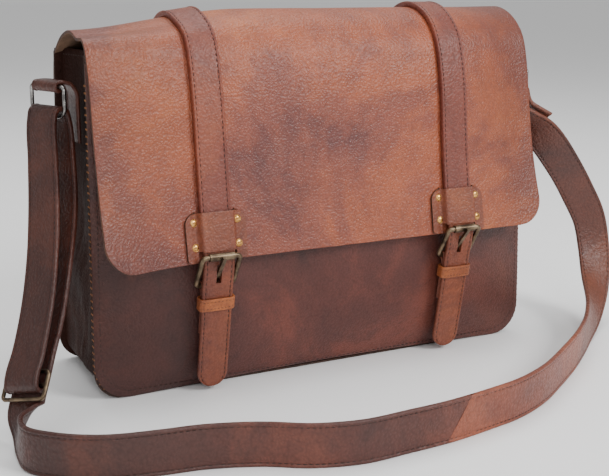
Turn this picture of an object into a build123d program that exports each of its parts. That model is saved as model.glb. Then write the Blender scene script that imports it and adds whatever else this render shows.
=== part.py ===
"""Leather messenger satchel with a full front flap, two buckled straps and a shoulder strap.

Row frame: X across the bag, Y from front (-Y) to back, Z up. The origin is the centre of
the base, on the surface the bag stands on. All sizes are in millimetres.
"""
from build123d import *
from math import cos, hypot, pi, radians, sin
import os

# ---------------------------------------------------------------- driving sizes: bag body
bag_width = 400.0            # over the side seams
base_depth = 110.0           # front seam to back seam on the floor
mouth_depth = 80.0           # front seam to back seam at the mouth
bag_height = 264.0           # top of the gusset
panel_leather = 2.5          # front and back panels, flap
gusset_leather = 2.2
seam_flange = 5.0            # the gusset's edge, turned out and sewn behind the panels
corner_radius = 28.0         # bottom corners
front_bulge = 17.0           # how far the stuffed front panel stands forward of its seams
front_drop = 6.0             # the front panel's top edge below the gusset's
back_drop = 2.0
lining_cloth = 0.8
lining_gap = 0.4
lining_drop = 9.0            # below the gusset's top edge
pocket_width = 220.0
pocket_height = 130.0
pocket_thickness = 1.6

# ---------------------------------------------------------------- driving sizes: flap
flap_bottom = 110.0          # height of the flap's lower edge
flap_rise = 30.0             # crown of the flap above the gusset
flap_corner = 24.0
flap_flare = 18.0            # how far the lower corners stand forward
flap_flare_drop = 34.0       # from the gusset's top down to where the flare begins
flap_stand_off = 12.5        # flap's lower edge, in front of the stuffed panel at the snaps
fold_gap = 0.5               # between the two flap stretches at the front fold
seam_gap = 1.4               # between back panel and flap at the rear fold

# ---------------------------------------------------------------- driving sizes: closure
strap_spacing = 0.55 * bag_width   # centre to centre of the two flap straps
strap_width = 25.0
strap_thickness = 5.0
strap_end_cut = 7.0          # strap stretches stop this far from the front fold
back_strap_drop = 70.0       # how far the straps run down the back panel
billet_thickness = 3.2
billet_tip = 4.0             # height of the rounded tip above the floor
patch_width = strap_width + 25
patch_height = 36.0
patch_leather = 2.6
patch_corner = 9.0
patch_bite = 0.8             # how deep the patch is drawn into the flap before the flap is cut away
patch_notch = 9.0            # height of the gap over the buckle
rivet_spacing_x = strap_width + 11
rivet_spacing_z = 18.3
rivet_radius = 3.2
rivet_dome = 1.6
bar_radius = 2.0             # buckle frame bar
buckle_play = 1.5            # frame's inner width over the strap's
roller_radius = 3.0
roller_length = strap_width - 5
turn_clearance = 0.15        # roller and prong round their bars
roller_forward = 9.0         # roller's centre, from the flap's lower edge at the strap
roller_up = 4.5
heel_back = 6.1              # buckle's heel bar, from the same edge
heel_down = 20.5
prong_width = 3.0
prong_thickness = 2.4
prong_overhang = 3.8         # the prong's tip beyond the roller's middle
slot_play = 0.6              # each side of the prong in the billet's slot
chape_thickness = 3.2
chape_width = strap_width - 1
chape_end = flap_bottom - 60
wrap_wall = 1.8
keeper_z = flap_bottom - 34
keeper_height = 10.0
keeper_wall = 1.8
keeper_clearance = 0.45
snap_radius = 6.5
snap_z = flap_bottom - 51
snap_gap = 0.35
snap_height = 2.4

# ---------------------------------------------------------------- driving sizes: carrying strap
carry_width = 32.0
carry_thickness = 3.5
ring_wire = 1.5              # radius
ring_width = carry_width + 6   # centre to centre, along its straight bar
ring_depth = 22.0
ring_corner = 8.0            # at the curved side
ring_bar_corner = 3.0        # at the straight bar
roll_y = -17.0               # the tabs' pivot line runs along X through this point
roll_z = bag_height - 25
roll_wall = 2.3
roll_length = carry_width - 2
roll_clearance = 0.4
loop_radius = 6.25           # carrying strap's centre line round the ring wire
tab_width = carry_width - 4
tab_thickness = 2.5
tab_length = 42.0
tab_gap = 1.5                # cut between the fixed tab and its turning roll
slider_width = carry_width + 8
slider_length = 20.0
slider_gap = 1.8             # slider's bars to the running strap
slider_lift = 1.4            # slider's bars to the sewn end's strap
loop_clearance = 0.35

half_width = bag_width / 2
# roll centre's distance from the bag's middle, and how far it is turned outwards
sides = {"left": (-1, half_width + 16, 24.0), "right": (1, half_width + 12, 0.0)}
front_y = -base_depth / 2
back_lean = (base_depth - mouth_depth) / bag_height
buckle_half = (strap_width + buckle_play) / 2 + bar_radius
flap_flare_start = bag_height - flap_flare_drop

parts = {}


# ---------------------------------------------------------------- helpers
def smooth(points, steps=5):
    """A finer line through the points (Catmull-Rom)."""
    pts = [Vector(*p) for p in points]
    ends = [pts[0] * 2 - pts[1]] + pts + [pts[-1] * 2 - pts[-2]]
    line = []
    for a, b, c, d in zip(ends, ends[1:], ends[2:], ends[3:]):
        for k in range(steps):
            t = k / steps
            line.append((b * 2 + (c - a) * t + (a * 2 - b * 5 + c * 4 - d) * t ** 2
                         + (b * 3 - a - c * 3 + d) * t ** 3) * 0.5)
    return line + [pts[-1]]


def band(line, inner, outer, x):
    """Face at x between two offsets of a line given as (y, z) vectors, outer side positive."""
    sides_of = []
    for k, p in enumerate(line):
        step = line[min(k + 1, len(line) - 1)] - line[max(k - 1, 0)]
        step = step * (1 / step.length)
        sides_of.append((p, Vector(step.Y, -step.X)))
    ring = [p + n * outer for p, n in sides_of] + [p + n * inner for p, n in reversed(sides_of)]
    return Face(Wire.make_polygon([Vector(x, p.X, p.Y) for p in ring], close=True))


def strip(line, inner, outer, x_middle, width):
    return extrude(band(line, inner, outer, x_middle - width / 2), width, dir=(1, 0, 0))


def yz_prism(corners, x_low, x_high):
    face = Face(Wire.make_polygon([Vector(x_low, y, z) for y, z in corners], close=True))
    return extrude(face, x_high - x_low, dir=(1, 0, 0))


def rounded_block(half, low, high, radius):
    """Tall block across the bag with its two bottom edges rounded."""
    block = Pos(0, 0, (low + high) / 2) * Box(2 * half, 6 * base_depth, high - low)
    return fillet(block.edges().filter_by(Axis.Y).group_by(Axis.Z)[0], radius)


def pan(inset, low, top):
    return rounded_block(half_width - inset, low, top, corner_radius - inset)


def back_y(z):
    return base_depth / 2 - back_lean * z


def wedge(inset):
    """Space between the front and back panels' seam planes, moved inwards."""
    low, high = -20.0, 1.3 * bag_height
    corners = [(front_y + inset, low), (back_y(low) - inset, low),
               (back_y(high) - inset, high), (front_y + inset, high)]
    return yz_prism(corners, -bag_width, bag_width)


def bulge(x, z):
    share_x = 1 - abs(x / half_width) ** 4
    share_z = sin(pi * min(max(z / bag_height, 0), 1) ** 0.75)
    return front_bulge * share_x * max(share_z, 0)


def x_cylinder(radius, length, x, y, z):
    return Pos(x, y, z) * Rot(0, 90, 0) * Cylinder(radius, length)


def clip(line, low, high):
    """The stretch of a line between two distances along it."""
    out, run = [], 0.0
    for a, b in zip(line, line[1:]):
        size = (b - a).length
        if run + size > low and run < high:
            first, last = max(low - run, 0) / size, min(high - run, size) / size
            if not out:
                out.append(a + (b - a) * first)
            out.append(a + (b - a) * last)
        run += size
    return out


def length_to(line, index):
    return sum((b - a).length for a, b in zip(line[:index], line[1:index + 1]))


# ---------------------------------------------------------------- bag body
def front_panel():
    top = bag_height - front_drop
    heights = [top * k / 12 for k in range(13)]
    sections = []
    for share in (-1, -0.94, -0.85, -0.7, -0.4, 0, 0.4, 0.7, 0.85, 0.94, 1):
        x = share * half_width
        ring = [Vector(x, front_y - bulge(x, z), z) for z in heights]
        ring += [Vector(x, front_y - bulge(x, z) + panel_leather, z) for z in reversed(heights)]
        sections.append(Face(Wire.make_polygon(ring, close=True)))
    return loft(sections, ruled=True) & pan(0, 0, bag_height)


def back_panel():
    top = bag_height - back_drop
    corners = [(back_y(0), 0), (back_y(top), top),
               (back_y(top) - panel_leather, top), (back_y(0) - panel_leather, 0)]
    return yz_prism(corners, -half_width, half_width) & pan(0, 0, bag_height)


def gusset():
    inner = pan(seam_flange + gusset_leather, gusset_leather, 2 * bag_height)
    wall = (pan(seam_flange, 0, bag_height) - inner) & wedge(panel_leather)
    rims = wedge(panel_leather) - wedge(panel_leather + gusset_leather)
    # along the base the flange lies flat, so it starts part of the way up each corner
    flat_base = 2 * (half_width - corner_radius + 8)
    rims -= Pos(0, 0, -base_depth) * Box(flat_base, 6 * base_depth, 2 * base_depth + corner_radius)
    flanges = (pan(0, 0, bag_height) - inner) & rims
    return wall + flanges


def lining_shell(extra, top):
    inset = gusset_leather + lining_gap + extra
    return pan(seam_flange + inset, inset, top) & wedge(panel_leather + inset)


def lining():
    return lining_shell(0, bag_height - lining_drop) - lining_shell(lining_cloth, 2 * bag_height)


def inner_pocket():
    inset = panel_leather + gusset_leather + lining_gap + lining_cloth + lining_gap
    low = bag_height - 60 - pocket_height
    corners = [(back_y(z) - inset - t, z) for z, t in
               ((low, 0), (low + pocket_height, 0), (low + pocket_height, pocket_thickness),
                (low, pocket_thickness))]
    return yz_prism(corners, -pocket_width / 2, pocket_width / 2)


parts["front_panel"] = front_panel()
parts["back_panel"] = back_panel()
parts["gusset"] = gusset()
parts["lining"] = lining()
parts["inner_pocket"] = inner_pocket()

# ---------------------------------------------------------------- flap
# The flap's outer surface, from the rear seam over the crown and down the front.
top_back = back_y(bag_height)
crown = bag_height + flap_rise
fall = crown - 13 - flap_bottom
over = [(top_back + 1, bag_height - back_drop + seam_gap), (top_back, bag_height + 8)]
over += [(top_back - share * mouth_depth, crown - below) for share, below in
         ((0.1, 11), (0.25, 3.5), (0.4625, 0), (0.6875, 3.5), (0.875, 13))]
down = [(front_y, crown - 26)]
down += [(front_y - bulge(0, z) - gap, z) for z, gap in
         ((crown - 44, 3.9), (crown - 64, 4.8), (flap_bottom + 0.47 * fall, 4.3),
          (flap_bottom + 0.235 * fall, 5.5))]
down.append((front_y - bulge(0, snap_z) - flap_stand_off, flap_bottom))
flap_line = smooth(over + down, 4)
fold_index = 4 * (len(over) - 1)
fold_at = length_to(flap_line, fold_index)
flap_length = length_to(flap_line, len(flap_line) - 1)
fold_step = flap_line[fold_index + 1] - flap_line[fold_index - 1]
fold_step = fold_step * (1 / fold_step.length)
# the front fold turns about the middle of the leather, the rear one beyond the strap's face
fold_axis = flap_line[fold_index] - Vector(fold_step.Y, -fold_step.X) * (panel_leather / 2)
rear_axis = Vector(top_back + strap_thickness + 2.3, bag_height - back_drop)


def flare(x, z):
    drop = max(flap_flare_start - z, 0) / (flap_flare_start - flap_bottom)
    return flap_flare * abs(x / half_width) ** 4 * drop ** 2


def drop_line(x):
    return [p - Vector(flare(x, p.Y), 0) for p in clip(flap_line, fold_at, flap_length)]


def flap_sections():
    """Distances from the middle at which the flap's front is shaped; straight in between."""
    strap_x, patch_half = strap_spacing / 2, patch_width / 2
    steps = {0, 0.25 * half_width, 0.8 * half_width, 0.9 * half_width, half_width,
             strap_x - patch_half, strap_x, strap_x + patch_half}
    return sorted(steps | {-x for x in steps})


def on_flap(inner, outer, low_x, high_x):
    """A layer on the flap's front between two distances from the middle."""
    xs = [x for x in flap_sections() if low_x <= x <= high_x]
    return loft([band(drop_line(x), inner, outer, x) for x in xs], ruled=True)


def line_y(line, z):
    """The (y, z) line's y at a height."""
    for a, b in zip(line, line[1:]):
        if b.Y <= z <= a.Y:
            return a.X + (b.X - a.X) * (z - a.Y) / (b.Y - a.Y)
    return line[-1].X


def flap_face_y(x, z):
    xs = flap_sections()
    low = max(v for v in xs[:-1] if v <= x)
    high = min(v for v in xs if v > low)
    share = (x - low) / (high - low)
    return line_y(drop_line(low), z) * (1 - share) + line_y(drop_line(high), z) * share


def flap_saddle():
    line = clip(flap_line, 0, fold_at - panel_leather / 2 - fold_gap)
    return strip(line, -panel_leather, 0, 0, bag_width)


def flap_drop():
    outline = rounded_block(half_width, flap_bottom - 3, 2 * bag_height, flap_corner)
    sheet = on_flap(-panel_leather, 0, -half_width, half_width) & outline
    return sheet + x_cylinder(panel_leather / 2, bag_width, 0, fold_axis.X, fold_axis.Y)


parts["flap_saddle"] = flap_saddle()
parts["flap_drop"] = flap_drop()

# ---------------------------------------------------------------- flap straps and closure
strap_x = strap_spacing / 2
hem_y = flap_line[-1].X - flare(strap_x, flap_bottom)
roller_y = hem_y - roller_forward
roller_z = flap_bottom + roller_up
heel_y = hem_y + heel_back
heel_z = flap_bottom - heel_down
slide_run = Vector(5.0, -29.5)                 # the billet's straight stretch under the heel bar
slide_dir = slide_run * (1 / slide_run.length)
billet_start = Vector(heel_y - 5.9, heel_z)


def billet_y(z):
    return billet_start.X + slide_run.X / slide_run.Y * (z - billet_start.Y)


def panel_face_y(x, z):
    return front_y - bulge(x, z)


billet_line = [(roller_y + 4.9, roller_z), (roller_y + 5.6, roller_z - 7), (roller_y + 6.7, roller_z - 15),
               (billet_start.X, billet_start.Y), (billet_y(keeper_z), keeper_z),
               (billet_y(chape_end + 10), chape_end + 10), (billet_y(0.33 * flap_bottom), 0.33 * flap_bottom)]
billet_line += [(panel_face_y(strap_x, z) - gap, z) for z, gap in
                ((0.13 * flap_bottom, 9.7), (billet_tip, 11.5))]
chape_offset = (billet_thickness + chape_thickness) / 2 + 0.35
chape_line = [(billet_y(z) + chape_offset, z) for z in (heel_z - 5.5, keeper_z, keeper_z - 10, chape_end)]


def back_strap(x):
    low = bag_height - back_strap_drop
    line = [Vector(back_y(z), z) for z in (low, bag_height - back_drop)]
    return strip(line, 0, strap_thickness, x, strap_width)


def top_strap(x):
    return strip(clip(flap_line, 1.0, fold_at - strap_end_cut), 0, strap_thickness, x, strap_width)


def front_strap(x):
    """The strap sewn down the flap, which runs on below it as the billet."""
    sewn_end = roller_z + 3.5
    sewn = [p for p in clip(drop_line(x), strap_end_cut, flap_length) if p.Y > sewn_end + 1]
    sewn.append(Vector(line_y(drop_line(x), sewn_end), sewn_end))
    strap = strip(sewn, 0, strap_thickness, x, strap_width)
    line = smooth([(sewn[-1].X - strap_thickness / 2, sewn_end + 0.5)] + billet_line, 3)
    billet = strip(line, -billet_thickness / 2, billet_thickness / 2, x, strap_width)
    blunt = Pos(x, 0, roller_z) * Box(strap_width, 6 * base_depth, 2 * (roller_z - billet_tip))
    blunt = fillet(blunt.edges().filter_by(Axis.Y).group_by(Axis.Z)[0], strap_width / 2 - 1)
    blunt += Pos(x, 0, 2 * roller_z) * Box(2 * strap_width, 6 * base_depth, 2 * roller_z)
    slot = Pos(x, billet_start.X, heel_z + 9.5) * Box(prong_width + 2 * slot_play, 14, 13.5)
    return (strap + (billet & blunt)) - slot - parts["flap_drop"]


def patch(x):
    line = drop_line(x)
    brim = on_flap(-patch_bite, patch_leather, x - patch_width / 2, x + patch_width / 2)
    hat = strip(line, 0.1 - patch_bite, strap_thickness + patch_leather, x, strap_width + 2 * 1.8)
    low, high = flap_bottom + 0.5, flap_bottom + patch_height
    window = Pos(x, 0, (low + high) / 2) * Box(patch_width, 6 * base_depth, patch_height)
    window = fillet(window.edges().filter_by(Axis.Y).group_by(Axis.Z)[-1], patch_corner)
    notch = Pos(x, 0, low) * Box(strap_width + 7, 6 * base_depth, 2 * patch_notch)
    channel = strip(line, -1, strap_thickness + 0.05, x, strap_width + 0.1)
    return ((brim + hat) & window) - notch - channel - parts["flap_drop"]


def rivets(x):
    group = []
    for dx in (-0.5, 0.5):
        for dz in (-0.5, 0.5):
            z = flap_bottom + 21 + dz * rivet_spacing_z
            face = flap_face_y(x + dx * rivet_spacing_x, z) - patch_leather
            cap = Cylinder(rivet_radius, rivet_dome)
            cap = fillet(cap.edges().group_by(Axis.Z)[-1], rivet_dome * 0.7)
            cap = Rot(90, 0, 0) * cap
            group.append(Pos(x + dx * rivet_spacing_x, face - rivet_dome / 2, z) * cap)
    return Compound(children=[g - parts["flap_drop"] - parts["patch_" + side_of(x)] for g in group])


def side_of(x):
    return "left" if x < 0 else "right"


buckle_up = Vector(roller_y - heel_y, roller_z - heel_z)
buckle_length = buckle_up.length
buckle_up = buckle_up * (1 / buckle_length)


def rounded_frame(width, length, radius, wire, plane, top_radius=None):
    """A closed ring of round bar on a rounded rectangle."""
    outline = Rectangle(width, length)
    low, high = outline.vertices().group_by(Axis.Y)
    outline = fillet(low, radius)
    outline = fillet(outline.vertices().group_by(Axis.Y)[-1], top_radius or radius)
    path = (plane * outline).wire()
    section = Plane(origin=path @ 0, z_dir=path % 0) * Circle(wire)
    return sweep(section, path=path)


def buckle_frame(x):
    middle = Vector(x, (roller_y + heel_y) / 2, (roller_z + heel_z) / 2)
    normal = Vector(0, -buckle_up.Y, buckle_up.X)
    plane = Plane(origin=middle, x_dir=(1, 0, 0), z_dir=normal)
    return rounded_frame(2 * buckle_half, buckle_length, 3.2, bar_radius, plane)


def roller(x):
    outside = x_cylinder(roller_radius, roller_length, x, roller_y, roller_z)
    return outside - x_cylinder(bar_radius + turn_clearance, 2 * roller_length, x, roller_y, roller_z)


def prong(x):
    reach = roller_radius + 0.25 + prong_thickness / 2
    tip = Vector(roller_y - reach * buckle_up.Y, roller_z + reach * buckle_up.X)
    root = Vector(heel_y - 2.0, heel_z + 2.8)
    line = [root, tip + (tip - root) * (prong_overhang / (tip - root).length)]
    bar = strip(line, -prong_thickness / 2, prong_thickness / 2, x, prong_width)
    eye = x_cylinder(bar_radius + turn_clearance + 1.45, prong_width + 0.4, x, heel_y, heel_z)
    return bar + eye - x_cylinder(bar_radius + turn_clearance, 30, x, heel_y, heel_z)


def chape(x):
    """Leather folded round the buckle's heel bar, behind the billet."""
    line = smooth([(heel_y - 0.4, heel_z - 1.5)] + chape_line, 3)
    tail = strip(line, -chape_thickness / 2, chape_thickness / 2, x, chape_width)
    tail_end = Pos(x, 0, chape_end + 60) * Box(chape_width, 6 * base_depth, 120)
    tail_end = fillet(tail_end.edges().filter_by(Axis.Y).group_by(Axis.Z)[0], chape_width / 2 - 1)
    wrap = x_cylinder(bar_radius + 0.1 + wrap_wall, chape_width, x, heel_y, heel_z)
    slot = Pos(x, heel_y, heel_z + 2) * Box(prong_width + 1.6, 14, 14)
    bore = x_cylinder(bar_radius + 0.1, 2 * chape_width, x, heel_y, heel_z)
    return ((tail & tail_end) + wrap) - slot - bore


def keeper(x):
    """Leather loop that holds billet and chape together and slides along them."""
    front = -billet_thickness / 2 - keeper_clearance
    back = chape_offset + chape_thickness / 2 + keeper_clearance
    centre = Vector(billet_y(keeper_z), keeper_z)
    half = slide_dir * (keeper_height / 2)
    line = [centre - half, centre + half]
    outside = strip(line, -back - keeper_wall, -front + keeper_wall, x,
                    strap_width + 2 * (keeper_clearance + keeper_wall))
    longer = [centre - half * 2, centre + half * 2]
    return outside - strip(longer, -back, -front, x, strap_width + 2 * keeper_clearance)


def snap_socket(x):
    face = panel_face_y(x, snap_z) - snap_height
    depth = snap_height + panel_leather / 2
    disc = Pos(x, face + depth / 2, snap_z) * Rot(90, 0, 0) * Cylinder(snap_radius, depth)
    return disc - parts["front_panel"]


def snap_stud(x):
    face = panel_face_y(x, snap_z) - snap_height - snap_gap
    disc = Pos(x, face - 4, snap_z) * Rot(90, 0, 0) * Cylinder(snap_radius, 8)
    line = [Vector(billet_y(z) + chape_offset, z) for z in (snap_z + 20, snap_z - 20)]
    return disc - strip(line, -chape_thickness / 2, 40, x, 4 * snap_radius)


for side, sign in (("left", -1), ("right", 1)):
    x = sign * strap_spacing / 2
    parts["strap_back_" + side] = back_strap(x)
    parts["strap_top_" + side] = top_strap(x)
    parts["strap_front_" + side] = front_strap(x)
    parts["patch_" + side] = patch(x)
    parts["rivets_" + side] = rivets(x)
    parts["buckle_frame_" + side] = buckle_frame(x)
    parts["roller_" + side] = roller(x)
    parts["prong_" + side] = prong(x)
    parts["chape_" + side] = chape(x)
    parts["keeper_" + side] = keeper(x)
    parts["snap_socket_" + side] = snap_socket(x)
    parts["snap_stud_" + side] = snap_stud(x)


# ---------------------------------------------------------------- carrying strap
def frame_of(side):
    """Roll centre, direction of the roll's axis and outward direction at one end of the bag."""
    sign, reach, turn = sides[side]
    centre = Vector(sign * reach, roll_y, roll_z)
    along = Vector(-sign * sin(radians(turn)), -cos(radians(turn)), 0)
    outward = Vector(sign * cos(radians(turn)), -sin(radians(turn)), 0)
    return centre, along, outward


def tab_base(side):
    sign = sides[side][0]
    wall = half_width - seam_flange
    plate = Pos(sign * (wall + tab_thickness / 2), roll_y, roll_z - tab_length / 2)
    plate *= Box(tab_thickness, tab_width, tab_length + tab_thickness)
    reach = 7.5
    shelf = Pos(sign * (wall + reach / 2), roll_y, roll_z) * Box(reach, tab_width, tab_thickness)
    return plate + shelf


def tab_roll(side):
    sign, reach, _ = sides[side]
    centre, along, _ = frame_of(side)
    start = half_width - seam_flange + 7.5 + tab_gap
    neck_end = reach - ring_wire - roll_clearance
    neck = Pos(sign * (start + neck_end) / 2, roll_y, roll_z)
    neck *= Box(neck_end - start, tab_width - 6, tab_thickness)
    plane = Plane(origin=centre, z_dir=along)
    tube = plane * Cylinder(ring_wire + roll_clearance + roll_wall, roll_length)
    bore = plane * Cylinder(ring_wire + roll_clearance, 2 * roll_length)
    return (neck + tube) - bore


def d_ring(side):
    centre, along, outward = frame_of(side)
    middle = centre - Vector(0, 0, ring_depth / 2)
    plane = Plane(origin=middle, x_dir=along, z_dir=outward)
    if plane.y_dir.Z < 0:
        plane = Plane(origin=middle, x_dir=along * -1, z_dir=outward)
    return rounded_frame(ring_width, ring_depth, ring_corner, ring_wire, plane, ring_bar_corner)


def ribbon(stations, width, thickness):
    """Flat strap through (centre, across) stations."""
    sections = []
    for k, (centre, across) in enumerate(stations):
        step = stations[min(k + 1, len(stations) - 1)][0] - stations[max(k - 1, 0)][0]
        step = step.normalized()
        across = (across - step * across.dot(step)).normalized()
        face_dir = step.cross(across)
        corners = [centre + across * (a * width / 2) + face_dir * (b * thickness / 2)
                   for a, b in ((-1, -1), (1, -1), (1, 1), (-1, 1))]
        sections.append(Face(Wire.make_polygon(corners, close=True)))
    return loft(sections, ruled=True)


def round_the_wire(side, start_side):
    """Strap centres over the ring's lower wire, from one face of the ring to the other."""
    centre, along, outward = frame_of(side)
    wire = centre - Vector(0, 0, ring_depth)
    steps = []
    for k in range(7):
        turn = pi * k / 6
        steps.append(wire + outward * (start_side * loop_radius * cos(turn))
                     + Vector(0, 0, loop_radius * sin(turn)))
    return steps, along


def strap_long():
    """The buckled length: up from the slider, over the left ring, down again and along the front."""
    _, along, outward = frame_of("left")
    over_ring, _ = round_the_wire("left", 1)
    stations = [(Vector(*p), along) for p in slider_drop]
    stations += [(p, along) for p in over_ring]
    behind = (16.0, 16.5, 13.5, slider_offset + 2, slider_offset, slider_offset)
    for k, (p, gap) in enumerate(zip(reversed(slider_drop), behind)):
        away = outward if k < 3 else slider_out
        stations.append((Vector(*p) - away * gap, along))
    stations += [(Vector(*p), Vector(*w)) for p, w in floor_curl]
    stations += [(Vector(*p, carry_width / 2), Vector(0, 0, 1)) for p in front_run_left]
    end_loop = Plane(origin=slider_centre, z_dir=slider_across)
    end_loop *= Cylinder(ring_wire + loop_clearance + 1.9, carry_width)
    bore = Plane(origin=slider_centre, z_dir=slider_across)
    bore *= Cylinder(ring_wire + loop_clearance, 2 * carry_width)
    return ribbon(stations, carry_width, carry_thickness) + end_loop - bore


def strap_short():
    """The plain length: from the lap seam, up the right side and round the right ring."""
    over_ring, along = round_the_wire("right", -1)
    along = along * -1
    stations = [(Vector(*p, carry_width / 2), Vector(0, 0, 1)) for p in front_run_right]
    stations += [(Vector(*p), Vector(*w)) for p, w in right_rise]
    stations += [(p, along) for p in over_ring]
    stations += [(Vector(*p), Vector(*w)) for p, w in fold_back]
    return ribbon(stations, carry_width, carry_thickness)


def lay(points):
    """Strap stations moved with the bag's width, the height of its rings and the strap's width."""
    moved = []
    for x, y, z in points:
        aside = (half_width - drawn_half_width) * min(max(x / drawn_half_width, -1), 1)
        share = min(max((z - follow_low) / (follow_high - follow_low), 0), 1)
        up = (roll_z - drawn_roll_z) * share
        up += (carry_width - drawn_carry_width) * (0.5 if z < follow_low else 1)
        moved.append((x + aside, y, z + up))
    return moved


# The strap's stations belong to a bag of these sizes; between the two heights they follow the rings.
drawn_half_width = 200.0
drawn_roll_z = 239.0
drawn_carry_width = 32.0
follow_low = 42.0
follow_high = 207.0

# centre line of the strap's outer layer from the slider up to the left ring
slider_drop = [(-264.5, -98.5, 42), (-256, -88, 60), (-246, -76, 86), (-236.5, -60, 118),
               (-230, -45, 150), (-225, -29, 186)]
floor_curl = [((-262.6, -101.6, 25.6), (0.52, -0.82, 0.2)), ((-267.5, -114, 19), (0.3, -0.5, 0.8)),
              ((-274, -131, 16.6), (0.05, -0.1, 1)), ((-274, -150, 16.2), (0, 0, 1)),
              ((-260, -168, 16.2), (0, 0, 1))]
front_run_left = [(-235, -184), (-195, -194), (-169, -198), (-132, -211), (-101, -229), (-73, -237),
                  (-31, -237), (2, -235), (24, -232)]
front_run_right = [(24.3, -232), (41, -229), (70, -223), (110, -206), (140, -187), (192, -150)]
right_rise = [((236, -112, 16.4), (-0.1, 0.05, 1)), ((268, -82, 24), (-0.45, 0.2, 0.85)),
              ((288, -60, 41), (-0.8, 0.3, 0.5)), ((297, -45, 68), (-0.93, 0.3, 0.1)),
              ((294, -39, 95), (-0.95, 0.3, -0.1)), ((281, -36, 120), (-0.85, 0.3, -0.4)),
              ((260, -34, 151), (-0.75, 0.3, -0.6)), ((238, -30, 178), (-0.5, 0.6, -0.5)),
              ((219, -23, 196), (-0.15, 0.9, -0.2)), ((208, -19, 207), (0, 1, 0))]
fold_back = [((221.5, -18.5, 208), (0, 1, 0)), ((229, -22, 199), (-0.1, 0.95, -0.15)),
             ((238, -27, 189), (-0.3, 0.8, -0.35))]

slider_drop = lay(slider_drop)
floor_curl = list(zip(lay([p for p, _ in floor_curl]), [w for _, w in floor_curl]))
front_run_left = [p[:2] for p in lay([(x, y, 0) for x, y in front_run_left])]
front_run_right = [p[:2] for p in lay([(x, y, 0) for x, y in front_run_right])]
right_rise = list(zip(lay([p for p, _ in right_rise]), [w for _, w in right_rise]))
fold_back = list(zip(lay([p for p, _ in fold_back]), [w for _, w in fold_back]))

slider_run = (Vector(*slider_drop[1]) - Vector(*slider_drop[0])).normalized()
left_along = frame_of("left")[1]
slider_across = (left_along - slider_run * left_along.dot(slider_run)).normalized()
slider_out = slider_across.cross(slider_run)
slider_centre = Vector(*slider_drop[0]) - slider_out * (ring_wire + slider_lift + carry_thickness / 2)
slider_offset = 2 * ring_wire + slider_gap + slider_lift + carry_thickness


def strap_slider():
    plane = Plane(origin=slider_centre, x_dir=slider_across, z_dir=slider_run.cross(slider_across))
    frame = rounded_frame(slider_width, slider_length, 3.0, ring_wire, plane)
    bar = Plane(origin=slider_centre, z_dir=slider_across) * Cylinder(ring_wire, slider_width)
    return frame + bar


for side in ("left", "right"):
    parts["tab_base_" + side] = tab_base(side)
    parts["tab_roll_" + side] = tab_roll(side)
    parts["d_ring_" + side] = d_ring(side)
parts["carry_strap_long"] = strap_long()
parts["carry_strap_short"] = strap_short()
parts["strap_slider"] = strap_slider()

os.makedirs("parts", exist_ok=True)
for name, shape in parts.items():
    export_step(shape, "parts/" + name + ".step")
print("rear fold axis", rear_axis, "front fold axis", fold_axis)
print("roller", roller_y, roller_z, "heel bar", heel_y, heel_z)
print("slide direction", slide_dir, "slider", slider_centre, slider_across)
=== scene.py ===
from bisect import bisect_right
from math import cos, exp, pi, radians, sin, sqrt

import bmesh
import bpy
from mathutils import Matrix, Vector, noise


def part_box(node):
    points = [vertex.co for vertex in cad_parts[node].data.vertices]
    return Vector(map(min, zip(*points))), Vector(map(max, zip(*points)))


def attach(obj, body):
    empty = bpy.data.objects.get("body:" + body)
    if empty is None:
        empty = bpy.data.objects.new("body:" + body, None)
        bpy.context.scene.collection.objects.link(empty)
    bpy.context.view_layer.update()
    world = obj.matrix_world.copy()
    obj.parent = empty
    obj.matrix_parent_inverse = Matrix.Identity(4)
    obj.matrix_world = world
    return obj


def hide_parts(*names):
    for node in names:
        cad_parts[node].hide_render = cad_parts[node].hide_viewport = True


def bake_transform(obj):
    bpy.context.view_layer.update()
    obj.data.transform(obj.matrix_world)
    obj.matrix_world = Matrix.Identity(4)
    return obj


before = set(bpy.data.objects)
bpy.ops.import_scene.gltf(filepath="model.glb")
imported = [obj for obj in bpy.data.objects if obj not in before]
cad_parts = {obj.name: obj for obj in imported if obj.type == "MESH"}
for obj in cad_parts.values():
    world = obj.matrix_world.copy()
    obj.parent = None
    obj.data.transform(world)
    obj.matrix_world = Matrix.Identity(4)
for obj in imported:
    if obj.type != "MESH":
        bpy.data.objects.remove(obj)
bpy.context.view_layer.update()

mm = 0.001

# ------------------------------------------------------------------ studio
# The bag stands on a pale floor in a white room, seen from the front left and a little
# above. Soft light comes mostly from the front right, so the left end stays dark.
view_turn, view_rise, view_roll = radians(-27.12), radians(13.66), radians(0.39)
view_target = Vector((0.0068, 0.0, 0.0964))
view_distance = 0.9408
back = Vector((sin(view_turn) * cos(view_rise), -cos(view_turn) * cos(view_rise), sin(view_rise)))
level = Vector((cos(view_turn), sin(view_turn), 0))
upright = back.cross(level)
right_axis = level * cos(view_roll) + upright * sin(view_roll)
up_axis = upright * cos(view_roll) - level * sin(view_roll)
camera = bpy.data.objects.new("camera", bpy.data.cameras.new("camera"))
camera.data.lens = 63.55
camera.data.sensor_width = 36
camera.matrix_world = Matrix.Translation(view_target + back * view_distance) @ Matrix(
    (right_axis, up_axis, back)).transposed().to_4x4()
bpy.context.scene.collection.objects.link(camera)
bpy.context.scene.camera = camera

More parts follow.
